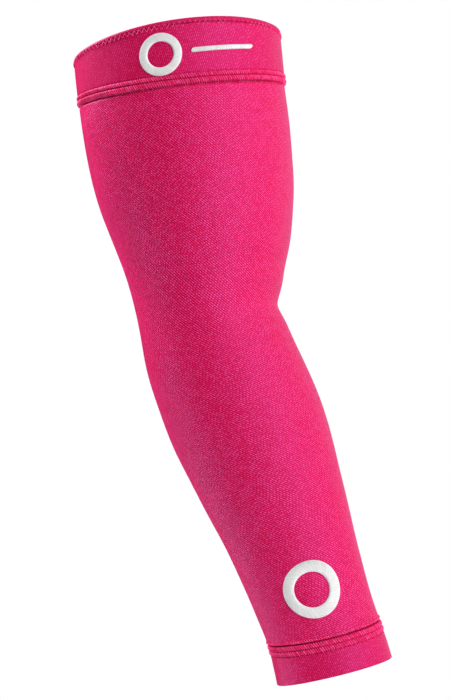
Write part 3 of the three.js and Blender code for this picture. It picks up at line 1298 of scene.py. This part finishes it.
    def build_binding(self, material: bpy.types.Material) -> bpy.types.Object:
        """Makes the binding in its finish: a strip folded over the rim, down the outside and the inside.

        Args:
            material: The binding's finish.

        Returns:
            The binding.
        """
        around, _ = self.seam.columns()
        rim = self.rim_at(around)
        end = self.strip / 2
        low = rim + self.binding_at(around) - end
        inner_low = low + self.inner_low
        crest, fold = rim + self.binding_crest, rim + self.strip + self.binding_fold
        outside = self.form.doubled_lift
        inside = outside - self.binding_cloth
        under, over = outside - self.strip, inside + self.strip
        swells = [self.binding_swell * math.sin(math.pi * share) for share in np.linspace(0, 1, 7)]
        face = [(distance, outside + swell) for distance, swell in zip(straight(crest, low, 7), swells)]
        rows = [*face, *rounded_edge(low, outside, under, end, 3), (low, under), (fold, under)]
        rows += [*rounded_edge(fold, under, over, -self.binding_fold, 3), (fold, over), (inner_low, over)]
        rows += rounded_edge(inner_low, over, inside, end, 3)
        rows += [(distance, inside) for distance in straight(inner_low, crest, 4)]
        rows += rounded_edge(crest, inside, outside, -self.binding_crest, 7)
        return WallMesh(self.form, around).build("sleeve_binding", material, rows, len(face))


@dataclass
class WristCuff(DoubledCloth):
    """The doubled cuff at the wrist."""

    form: SleeveForm
    height: float = 24 * MM
    cloth: float = 1.8 * MM
    fold: float = 0.6 * MM
    flush: float = 0.25 * MM
    full_from: float = 3 * MM
    full_to: float = 20 * MM
    seam_to: float = 8 * MM
    seam_step: float = 0.27 * MM
    ripple: Ripple = Ripple(0.08 * MM, (6, 150), (2, 210))
    seam: CoverSeam = field(init=False)

    def __post_init__(self) -> None:
        """Lays out the seam."""
        self.seam = CoverSeam(
            form=self.form,
            name="cuff_seam",
            join=self.form.length - self.height,
            inwards=1,
            stitch_length=2.85 * MM,
            columns_a_stitch=8,
            rows=(
                SeamRow(3.2 * MM, 0.6 * MM, 0.3 * MM, 0.3 * MM, 0.35, 0.6),
                SeamRow(6.4 * MM, 0.6 * MM, 0.2 * MM, 0.5 * MM, 0.15, 1.0),
            ),
            beads=(SeamBead(1.7 * MM, 1.5 * MM, 0.14 * MM), SeamBead(4.8 * MM, 1.5 * MM, 0.14 * MM)),
            pinch=0.2,
            lean=2.4 * MM,
            lean_to=math.radians(10),
            join_shade=0.45 * MM,
        )

    def lift(self, spot: Spot) -> np.ndarray:
        """The cuff's outside over the smooth form, nearly flush with the tube at the seam.

        Args:
            spot: Where on the cloth.

        Returns:
            The heights, in metres.
        """
        below = spot.distance - self.seam.join_at(spot.around)
        rise = smoothstep(below, self.full_from, self.full_to)
        plain = self.flush + (self.form.doubled_lift - self.flush) * rise
        return plain + self.seam.relief(spot) + self.ripple.at(spot.distance, spot.around)

    def build(self, material: bpy.types.Material) -> bpy.types.Object:
        """Makes the cuff in its finish.

        Args:
            material: The cloth's finish.

        Returns:
            The cuff.
        """
        around, _ = self.seam.columns()
        inner = self.form.doubled_lift - self.cloth
        join, hem = self.seam.join_at(around), self.form.length
        distances = [join + step for step in np.arange(self.fold, self.seam_to, self.seam_step)]
        distances += straight(join + self.seam_to, hem - self.fold, 14)
        rows, painted_shade = self.outside(distances)
        (first, first_lift), (last, last_lift), outer_rows = rows[0], rows[-1], len(rows)
        rows += rounded_edge(last, last_lift, inner, self.fold, 6)
        rows += [(distance, inner) for distance in straight(last, join + self.fold, 9)]
        rows += rounded_edge(first, inner, first_lift, -self.fold, 6)
        return WallMesh(self.form, around).build("sleeve_cuff", material, rows, outer_rows, painted_shade)


# The sewing
@dataclass
class SeamThreads:
    """The threads of a cover-stitched seam: slanted between the needle rows, and short over the join."""

    form: SleeveForm
    seam: CoverSeam
    cloth: DoubledCloth
    tube: ArmTube
    tick: tuple[float, float]
    width: float = 0.8 * MM
    bow: float = 0.16 * MM
    sunk: float = 0.2 * MM
    slant: float = 0.25
    tick_bow: float = 0.08 * MM
    tick_sunk: float = 0.12 * MM
    tick_slant: float = 0.16
    inner_sunk: float = 0.1 * MM
    overlock_bow: float = 0.18 * MM
    clear: float = 0.35 * MM
    cloth_edge: float = 0.5 * MM
    onto_tube: tuple[float, float] = (0.3 * MM, -0.9 * MM)
    overlock: float = 2.6 * MM
    overlock_past: float = 0.3 * MM
    points: int = 7

    def _starts(self, offset: float) -> np.ndarray:
        """Lengths round the join at which the stitches start, moved on by a share of a stitch."""
        count = self.seam.stitches
        return (np.arange(count) - count // 2 + offset) * self.seam.girth / count

    def _runs(
        self,
        inside: tuple[float, float],
        arc: tuple[np.ndarray, np.ndarray],
        bow: float,
        sunk: float,
        within: bool = False,
    ) -> tuple[np.ndarray, np.ndarray]:
        """Like threads, one for each stitch, that follow the cloth from one place to another.

        Args:
            inside: The distances from the join at which they start and end, + on the doubled cloth.
            arc: The lengths round the join at which they start and end.
            bow: How far their middle stands off the cloth.
            sunk: How far their ends dip into it.
            within: Whether they lie inside the sleeve, on the tube's allowance, or on the cloth's outside.

        Returns:
            Their points, and the cloth's normals there.
        """
        seam, share = self.seam, np.linspace(0, 1, self.points)[None, :]
        across = inside[0] + (inside[1] - inside[0]) * share
        length = arc[0][:, None] + (arc[1] - arc[0])[:, None] * share
        around = self.form.around_at(seam.join, length)
        distance = seam.join_at(around) + across * seam.inwards
        surface = self.tube.lift(distance, around)
        stands = (sunk + bow) * arch(share) - sunk
        if within:
            lift = surface - self.form.cloth - stands
        else:
            on_cloth = seam.join_at(around) + np.maximum(across, self.cloth_edge) * seam.inwards
            doubled = self.cloth.lift(Spot(on_cloth, around, length))
            lift = doubled + (surface - doubled) * smoothstep(across, *self.onto_tube) + stands
        return self.form.lifted(distance, around, lift), self.form.outward(distance, around)

    def outside(self) -> Runs:
        """The threads that show on the outside, all slanting down to the right.

        Returns:
            Runs of points and normals.
        """
        pitch = self.seam.girth / self.seam.stitches * self.seam.inwards
        levels = [0.0] + [row.at for row in self.seam.rows]
        runs = []
        for low, high in zip(levels, levels[1:]):
            for middle in (self._starts(0.26), self._starts(0.74)):
                arc = (middle - self.slant * pitch, middle + self.slant * pitch)
                runs.append(self._runs((low + self.clear, high - self.clear), arc, self.bow, self.sunk))
        for middle in (self._starts(0.0), self._starts(0.5)):
            arc = (middle + self.tick_slant * pitch, middle - self.tick_slant * pitch)
            runs.append(self._runs(self.tick, arc, self.tick_bow, self.tick_sunk))
        return runs

    def inside(self, allowance: float) -> Runs:
        """The threads that show inside: needle rows, and the overlocked edge of the tube's allowance.

        Args:
            allowance: How far the tube reaches past the join.

        Returns:
            Runs of points and normals.
        """
        pitch = self.seam.girth / self.seam.stitches
        begin = self._starts(0.1)
        levels = (0.4 * MM, *(row.at for row in self.seam.rows))
        along = (begin, begin + 0.8 * pitch)
        runs = [self._runs((at, at), along, self.bow, self.inner_sunk, True) for at in levels]
        across = (allowance - self.overlock, allowance + self.overlock_past)
        for middle in (self._starts(0.0), self._starts(0.5)):
            along = (middle, middle + 0.3 * pitch)
            runs.append(self._runs(across, along, self.overlock_bow, self.inner_sunk, True))
        return runs


@dataclass
class RimStitch:
    """The zigzag stitch that holds the binding to the band."""

    form: SleeveForm
    band: UpperBand
    above: float = 0.6 * MM
    above_share: float = 0.35
    stand: float = 0.08 * MM
    bow: float = 0.14 * MM
    sunk: float = 0.2 * MM
    width: float = 0.62 * MM
    points: int = 7

    def runs(self) -> Runs:
        """The zigzag's legs, as separate threads that dip into the cloth at their ends.

        Returns:
            Runs of points and normals.
        """
        count = self.band.zigzag_count()
        pitch = self.form.girth(0.0) / count
        share = np.linspace(0, 1, self.points)[None, :]
        corner = (np.arange(count) - count / 2)[:, None] * pitch
        lift = self.form.doubled_lift + self.stand + (self.bow + self.sunk) * arch(share) - self.sunk
        runs = []
        for way in (1, -1):
            around = self.form.around_at(0.0, corner + way * pitch / 2 * share)
            binding = self.band.binding_at(around)
            reach = np.minimum(self.above, binding * self.above_share)
            place = self.band.rim_at(around) + binding - reach + (self.band.zigzag_below + reach) * share
            runs.append((self.form.lifted(place, around, lift), self.form.outward(place, around)))
        return runs


# The embroidery
@dataclass
class Emblem:
    """Plain satin-stitched embroidery: a padded shape under close-lying threads."""

    form: SleeveForm
    distance: float
    around: float
    base_lift: float
    seed: int = 1
    loops: int = 60
    points: int = 9
    thread_lift: float = 0.8 * MM
    pitch: float = 0.36 * MM
    width: float = 0.46 * MM
    sunk: float = 0.1 * MM
    flatness: float = 0.75
    unevenness: float = 0.16
    padding_tone: float = 0.4
    padding_edge: ClassVar[np.ndarray] = np.array(
        [(1, 0), (1, 0.3), (0.8, 0.62), (0.5, 0.8), (-0.5, 0.8), (-0.8, 0.62), (-1, 0.3), (-1, 0)]
    )

    def at(self, right: np.ndarray, up: np.ndarray, lift: np.ndarray) -> tuple[np.ndarray, np.ndarray]:
        """Points of the embroidery, by lengths in the cloth from its middle.

        Args:
            right: Lengths round the sleeve, + towards +X.
            up: Lengths up the sleeve.
            lift: Heights over the cloth's outer surface.

        Returns:
            The points, and the cloth's normals there.
        """
        right, up, lift = np.broadcast_arrays(right, up, lift)
        angles = np.linspace(0, self.around, 60)
        runs = np.diff(self.form.skin(self.distance, angles), axis=0)
        middle = math.copysign(float(np.linalg.norm(runs, axis=-1).sum()), self.around)
        around = self.form.around_at(self.distance, middle + right)
        distance = self.distance - up
        return self.form.lifted(distance, around, lift), self.form.outward(distance, around)

    def stitched(
        self,
        name: str,
        material: bpy.types.Material,
        sweep: ThreadSweep,
        padding: tuple[np.ndarray, np.ndarray],
        has_ends: bool,
        threads: tuple[np.ndarray, np.ndarray],
        aside: np.ndarray,
    ) -> bpy.types.Object:
        """Makes the closed padding and the threads over it, as one piece.

        Args:
            name: The object's name.
            material: The thread's finish.
            sweep: The maker of threads.
            padding: Lengths right and up of the padding's points, in loops across the stroke.
            has_ends: Whether the stroke has two ends, or closes on itself.
            threads: Lengths right and up of the threads' points.
            aside: For the points of a thread, the share of the stroke's half width from its middle.

        Returns:
            The piece.
        """
        lift = self.base_lift + self.padding_edge[None, :, 1] * (self.thread_lift - self.sunk)
        loops, _ = self.at(*padding, lift)
        count, size = loops.shape[:2]
        faces = loop_quads(count, size, not has_ends)[:, [0, 3, 2, 1]].tolist()
        if has_ends:
            faces += [list(range(size))[::-1], list(range((count - 1) * size, count * size))]
        mesh = bpy.data.meshes.new(name + "_padding")
        mesh.from_pydata(loops.reshape(-1, 3).tolist(), [], faces)
        mesh.shade_smooth()
        mesh.materials.append(material)
        write_numbers(mesh, "tone", np.full(count * size, self.padding_tone))
        under = placed(mesh.name, mesh)
        height = self.base_lift - self.sunk + self.thread_lift * (1 - np.abs(aside) ** 3.0) ** 0.5
        runs = [self.at(*threads, height)]
        piece = sweep.sweep(name, runs, material, self.width, self.flatness, self.unevenness, self.seed)
        with bpy.context.temp_override(active_object=piece, selected_editable_objects=[piece, under]):
            bpy.ops.object.join()
        piece.name = piece.data.name = name
        return piece


@dataclass
class RingEmblem(Emblem):
    """A satin-stitched ring."""

    seed: int = 11
    loops: int = 96
    points: int = 11
    diameter: float = 26 * MM
    stroke: float = 5.2 * MM
    slant: float = 0.16
    inset: float = 0.15 * MM

    def build(self, name: str, material: bpy.types.Material, sweep: ThreadSweep) -> bpy.types.Object:
        """Makes the ring in its finish.

        Args:
            name: The object's name.
            material: The thread's finish.
            sweep: The maker of threads.

        Returns:
            The ring.
        """
        middle = (self.diameter - self.stroke) / 2
        turn = np.linspace(0, 2 * np.pi, self.loops, endpoint=False)[:, None]
        radius = middle - self.padding_edge[None, :, 0] * (self.stroke / 2 - self.inset)
        padding = (radius * np.cos(turn), radius * np.sin(turn))
        count = round(2 * np.pi * middle / self.pitch)
        aside = np.linspace(-1, 1, self.points)[None, :]
        angle = np.arange(count)[:, None] * 2 * np.pi / count + self.slant * aside
        reach = middle + aside * self.stroke / 2
        threads = (reach * np.cos(angle), reach * np.sin(angle))
        return self.stitched(name, material, sweep, padding, False, threads, aside)


@dataclass
class BarEmblem(Emblem):
    """A satin-stitched bar with round ends."""

    seed: int = 23
    start: float = 18 * MM
    length: float = 38 * MM
    thickness: float = 2.8 * MM
    slant: float = 0.5 * MM
    inset: float = 0.12 * MM
    end_share: float = 0.35

    def build(self, name: str, material: bpy.types.Material, sweep: ThreadSweep) -> bpy.types.Object:
        """Makes the bar in its finish.

        Args:
            name: The object's name.
            material: The thread's finish.
            sweep: The maker of threads.

        Returns:
            The bar.
        """
        share = np.linspace(0, 1, self.loops)[:, None]
        half = np.maximum(self._half(share) - self.inset, 0.1 * MM)
        padding = (self.start + share * self.length, self.padding_edge[None, :, 0] * half)
        count = round(self.length / self.pitch)
        share = ((np.arange(count) + 0.5) / count)[:, None]
        aside = np.linspace(-1, 1, self.points)[None, :]
        threads = (self.start + share * self.length + self.slant * aside, aside * self._half(share))
        return self.stitched(name, material, sweep, padding, True, threads, aside)

    def _half(self, share: np.ndarray) -> np.ndarray:
        """Half of the bar's thickness at a share of its length."""
        from_end = np.minimum(share, 1 - share) * self.length
        curve = np.minimum(from_end / (self.thickness / 2), 1)
        return self.thickness / 2 * (self.end_share + (1 - self.end_share) * np.sqrt(curve * (2 - curve)))


# The studio
@dataclass(frozen=True)
class Softbox:
    """A soft lamp: its place, its size and its power. It faces the sleeve's middle."""

    name: str
    place: tuple[float, float, float]
    size: tuple[float, float]
    watts: float


@dataclass(frozen=True)
class Flag:
    """A black card that keeps the pale surround's light off one side. The camera doesn't see it."""

    name: str
    place: tuple[float, float, float]
    size: tuple[float, float]


@dataclass
class Studio:
    """The pale floor, the soft light and the camera at the photograph's angle."""

    middle: Vector = field(default_factory=lambda: Vector((0.029, 0.0, -0.1837)))
    distance: float = 1.2
    pitch: float = math.radians(3.3)
    seen_height: float = 0.42
    sensor: float = 24
    floor_level: float = -0.78
    floor_radius: float = 3.2
    floor_sides: int = 96
    surround: float = 1.0
    contrast: float = 0.8
    black: float = 0.01
    boxes: tuple[Softbox, ...] = (
        Softbox("key_front", (0.75, -0.93, 0.05), (0.6, 1.0), 7.2),
        Softbox("above", (0.15, -0.7, 0.85), (0.7, 0.4), 5.5),
        Softbox("upper_left", (-0.85, 0.18, 0.65), (0.5, 0.6), 19),
        Softbox("lower_left", (-0.8, 0.1, -0.9), (0.5, 0.5), 14),
    )
    flags: tuple[Flag, ...] = (
        Flag("flag_front", (-0.3, -0.95, -0.18), (1.15, 1.5)),
        Flag("flag_left", (-1.16, -0.5, -0.18), (1.1, 1.5)),
        Flag("flag_behind", (-0.9, 0.85, -0.18), (1.8, 1.7)),
        Flag("flag_above", (-0.15, -0.25, 0.95), (3.0, 3.0)),
    )

    def build(self) -> None:
        """Makes floor, light and camera."""
        self._camera()
        self._floor()
        for box in self.boxes:
            self._light(box)
        for flag in self.flags:
            self._flag(flag)
        world = bpy.data.worlds.new("pale_surround")
        world.use_nodes = True
        background = world.node_tree.nodes["Background"]
        Wiring(world.node_tree).feed_all(background, {"Color": (1, 1, 1, 1), "Strength": self.surround})
        scene = bpy.context.scene
        scene.world = world
        scene.view_settings.view_transform = "Standard"
        scene.view_settings.gamma = self.contrast

    def _camera(self) -> None:
        """Places the camera a little below the sleeve's middle, looking slightly up."""
        data = bpy.data.cameras.new("camera")
        data.sensor_fit = "VERTICAL"
        data.sensor_height = self.sensor
        data.lens = self.sensor / 2 / (self.seen_height / 2 / self.distance)
        camera = placed("camera", data)
        back = Vector((0, -math.cos(self.pitch), -math.sin(self.pitch)))
        camera.location = self.middle + back * self.distance
        camera.rotation_euler = (math.pi / 2 + self.pitch, 0, 0)
        bpy.context.scene.camera = camera

    def _floor(self) -> None:
        """Lays a round floor well below the held-up sleeve."""
        count = self.floor_sides
        turn = np.arange(count) * 2 * np.pi / count
        ring = np.stack([np.cos(turn), np.sin(turn)], axis=-1) * self.floor_radius
        flat = np.concatenate([ring, ring / 2])
        points = np.column_stack([flat, np.full(2 * count, self.floor_level)])
        faces = [*loop_quads(2, count, False)[:, [0, 3, 2, 1]].tolist(), list(range(count, 2 * count))]
        mesh = bpy.data.meshes.new("floor")
        mesh.from_pydata(points.tolist(), [], faces)
        mesh.materials.append(FloorFinish().material())
        placed("floor", mesh)

    def _facing(self, place: tuple[float, float, float]) -> Quaternion:
        """The turn that lets something at a place face the sleeve's middle."""
        return (self.middle - Vector(place)).to_track_quat("-Z", "Y")

    def _flag(self, flag: Flag) -> None:
        """Stands one black card.

        Args:
            flag: The card.
        """
        wide, high = flag.size[0] / 2, flag.size[1] / 2
        turn = self._facing(flag.place)
        corners = [Vector((x, y, 0)) for x, y in ((-wide, -high), (wide, -high), (wide, high), (-wide, high))]
        mesh = bpy.data.meshes.new(flag.name)
        mesh.from_pydata([turn @ corner + Vector(flag.place) for corner in corners], [], [(0, 1, 2, 3)])
        material, wiring, shader = new_material(flag.name)
        wiring.feed_all(shader, {"Base Color": (self.black, self.black, self.black, 1)})
        mesh.materials.append(material)
        card = placed(flag.name, mesh)
        card.visible_camera = False

    def _light(self, box: Softbox) -> None:
        """Hangs one soft lamp.

        Args:
            box: The lamp.
        """
        data = bpy.data.lights.new(box.name, "AREA")
        data.shape = "RECTANGLE"
        data.size, data.size_y = box.size
        data.energy = box.watts
        lamp = placed(box.name, data)
        lamp.location = box.place
        lamp.rotation_euler = self._facing(box.place).to_euler()


def main() -> None:
    """Builds the studio and the sleeve, piece by piece."""
    logging.basicConfig(level=logging.INFO, format="%(name)s: %(message)s")
    Studio().build()
    form = SleeveForm()
    sweep = ThreadSweep()

    tube_cloth = KnitFinish("tube_cloth").material()
    doubled_cloth = {
        "weave": Weave.UPRIGHT,
        "deep": (0.6, 0.0005, 0.064),
        "middle": (0.72, 0.004, 0.128),
        "bright": (0.88, 0.1, 0.35),
        "rib_pitch": 1.1 * MM,
        "stitch_length": 1.9 * MM,
        "relief": 0.1 * MM,
        "contrast": 0.9,
        "sheen": 0.22,
    }
    band_cloth = KnitFinish("band_cloth", **doubled_cloth).material()
    cuff_cloth = KnitFinish("cuff_cloth", **doubled_cloth).material()
    darker = {"deep": (0.54, 0.0005, 0.06), "middle": (0.68, 0.004, 0.12), "bright": (0.84, 0.08, 0.3)}
    binding_cloth = KnitFinish("binding_cloth", **darker, gloss=0.6).material()
    dark, light, tint = (0.92, 0.025, 0.19), (1.0, 0.18, 0.47), (1.0, 0.3, 0.62)
    sewing = ThreadFinish("sewing_thread", dark, light, 0.45, 0.1, tint, gloss=0.6).material()
    dark, light, tint = (0.84, 0.84, 0.85), (0.96, 0.96, 0.96), (1.0, 1.0, 1.0)
    satin = ThreadFinish("satin_thread", dark, light, 0.4, 0.15, tint).material()

    band = UpperBand(form)
    cuff = WristCuff(form)
    tube = ArmTube(form, band.seam, cuff.seam)
    tube_piece = tube.build(tube_cloth)
    band_piece = band.build(band_cloth)
    binding_piece = band.build_binding(binding_cloth)
    cuff_piece = cuff.build(cuff_cloth)
    settle(tube_piece, "tube_cloth", "arm_tube")
    settle(band_piece, "band_cloth", "upper_band")
    settle(binding_piece, "binding_cloth", "edge_binding")
    settle(cuff_piece, "band_cloth", "wrist_cuff")

    band_threads = SeamThreads(form, band.seam, band, tube, (0.45 * MM, -1.3 * MM))
    cuff_threads = SeamThreads(form, cuff.seam, cuff, tube, (-0.7 * MM, -2.2 * MM))
    outer, inner, zigzag = (
        {"flatness": flatness, "unevenness": 0.08, "seed": seed}
        for flatness, seed in ((0.7, 5), (0.65, 6), (0.65, 7))
    )
    for threads, allowance in ((band_threads, tube.top_allowance), (cuff_threads, tube.bottom_allowance)):
        name, width = threads.seam.name, threads.width
        outside = sweep.sweep(name + "_threads", threads.outside(), sewing, width, **outer)
        settle(outside, "band_cloth")
        inside = sweep.sweep(name + "_inside", threads.inside(allowance), sewing, width, **inner)
        settle(inside, "band_cloth")
    rim = RimStitch(form, band)
    settle(sweep.sweep("rim_zigzag", rim.runs(), sewing, rim.width, **zigzag), "binding_cloth")

    ring_up = (band.height + band.crown - band.binding_height) / 2
    upper = (form, band.height - ring_up, math.radians(-9), form.doubled_lift + form.gap)
    ring = RingEmblem(*upper, diameter=25.2 * MM, stroke=5 * MM).build("upper_ring", satin, sweep)
    bar = BarEmblem(*upper).build("upper_bar", satin, sweep)
    across, above_cuff = 34 * MM, 11 * MM
    lower = (form, cuff.seam.join - above_cuff - across / 2, math.radians(2), form.gap)
    wrist = RingEmblem(*lower, diameter=across, stroke=6.6 * MM).build("wrist_ring", satin, sweep)
    settle(ring, "white_thread", "upper_emblem_ring")
    settle(bar, "white_thread", "upper_emblem_bar")
    settle(wrist, "white_thread", "wrist_emblem_ring")

    mouth, wrist_girth = form.girth(band.height), form.girth(cuff.seam.join)
    band_flat = (form.girth(0), band.height + band.crown / 2)
    strip_height, folded_height = 10 * MM, 4 * MM
    strip = form.girth(0) * folded_height
    strip_flat = (form.girth(0), strip_height)


if __name__ == "__main__":
    main()
